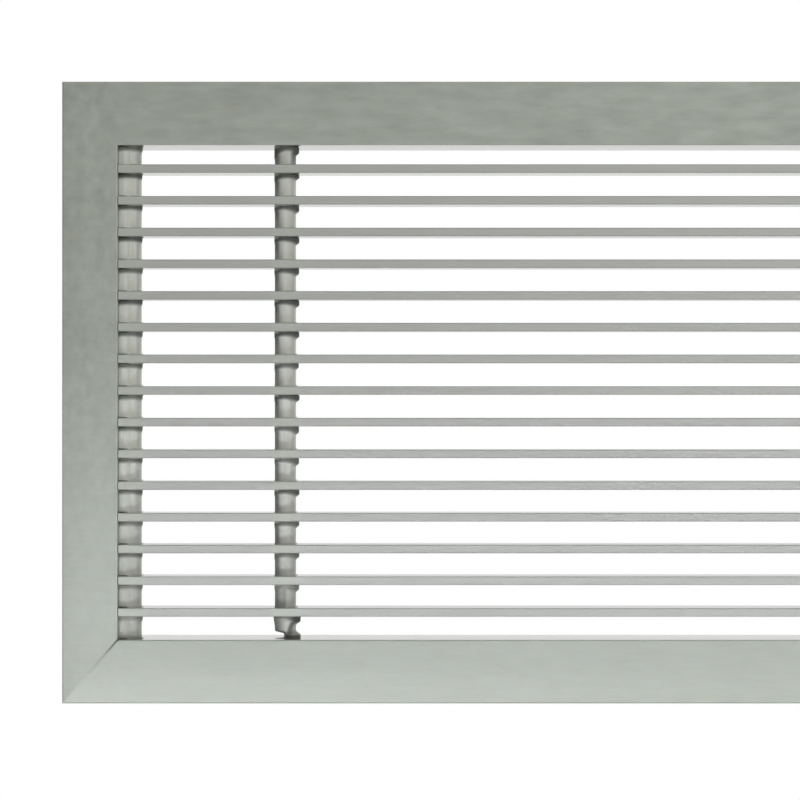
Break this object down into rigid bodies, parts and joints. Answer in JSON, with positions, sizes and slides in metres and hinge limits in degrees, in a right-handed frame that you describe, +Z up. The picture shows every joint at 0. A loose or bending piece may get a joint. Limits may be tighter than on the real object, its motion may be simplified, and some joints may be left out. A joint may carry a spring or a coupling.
{
  "type": "bar grille",
  "caption": "Fixed-bar air grille for a wall or duct opening: mitred flanged frame with a neck, flat horizontal bars on cross tubes.",
  "frame": {"origin": "middle of the wall opening, in the plane where the back of the flange meets the wall", "axes": "+X along the bars, +Y into the wall, +Z up; the front faces -Y"},
  "size_m": [0.3442, 0.0318, 0.249],
  "materials": {
    "frame_aluminium": "satin",
    "bar_aluminium": "satin",
    "tube_aluminium": "satin",
    "key_steel": "zinc plated"
  },
  "bodies": {
    "root": {"frame_top": "frame_aluminium", "frame_bottom": "frame_aluminium", "frame_left": "frame_aluminium", "frame_right": "frame_aluminium", "bar_01": "bar_aluminium", "bar_02": "bar_aluminium", "bar_03": "bar_aluminium", "bar_04": "bar_aluminium", "bar_05": "bar_aluminium", "bar_06": "bar_aluminium", "bar_07": "bar_aluminium", "bar_08": "bar_aluminium", "bar_09": "bar_aluminium", "bar_10": "bar_aluminium", "bar_11": "bar_aluminium", "bar_12": "bar_aluminium", "bar_13": "bar_aluminium", "bar_14": "bar_aluminium", "bar_15": "bar_aluminium", "tube_left_end": "tube_aluminium", "tube_left_inner": "tube_aluminium", "tube_right_end": "tube_aluminium", "corner_key_top_left": "key_steel", "corner_key_top_right": "key_steel", "corner_key_bottom_left": "key_steel", "corner_key_bottom_right": "key_steel"}
  },
  "joints": []
}
